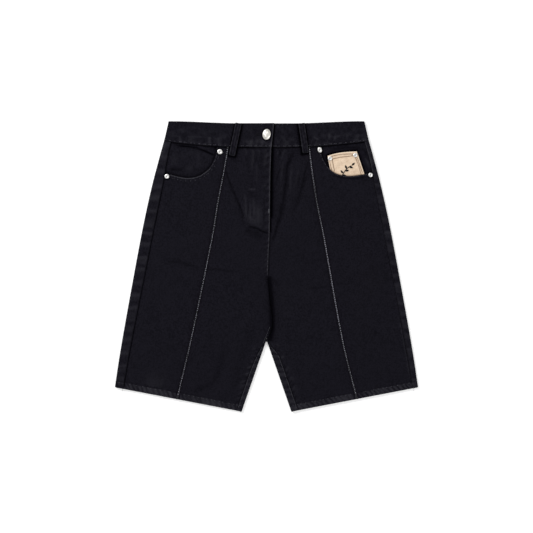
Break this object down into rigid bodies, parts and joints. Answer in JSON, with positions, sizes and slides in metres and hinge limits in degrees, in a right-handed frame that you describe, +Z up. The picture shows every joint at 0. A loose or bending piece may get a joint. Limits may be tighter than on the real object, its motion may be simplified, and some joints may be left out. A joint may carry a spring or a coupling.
{
  "type": "denim shorts",
  "caption": "Long loose denim shorts laid flat, front up, with raised seams down the legs, scoop pockets, a coin pocket and a buttoned waistband.",
  "frame": {"origin": "on the surface it lies on, under the middle of the outline", "axes": "+Z up, out of the front that faces the viewer; +Y towards the waistband; +X to the viewer's right"},
  "size_m": [0.5768, 0.552, 0.0135],
  "materials": {
    "denim": "matt, washed black denim",
    "worn_seam": "black denim edge rubbed to its white weft",
    "twill": "matt beige cotton twill",
    "rivets": "satin",
    "button": "satin, warm silver"
  },
  "bodies": {
    "root": {"back_left": "denim", "back_right": "denim", "front_centre_left": "denim", "front_centre_right": "denim", "front_side_left": "denim", "front_side_right": "denim", "pocket_facing_left": "denim", "pocket_facing_right": "denim", "waistband_left": "denim", "waistband_right": "denim", "raised_seam_left": "worn_seam", "raised_seam_right": "worn_seam", "coin_pocket": "twill", "belt_loop_front_left": "denim", "belt_loop_front_right": "denim", "belt_loop_back_left": "denim", "belt_loop_back_centre": "denim", "belt_loop_back_right": "denim", "rivet_left_upper": "rivets", "rivet_left_lower": "rivets", "rivet_right_upper": "rivets", "rivet_right_lower": "rivets", "coin_rivet_left": "rivets", "coin_rivet_right": "rivets", "button": "button"}
  },
  "joints": []
}
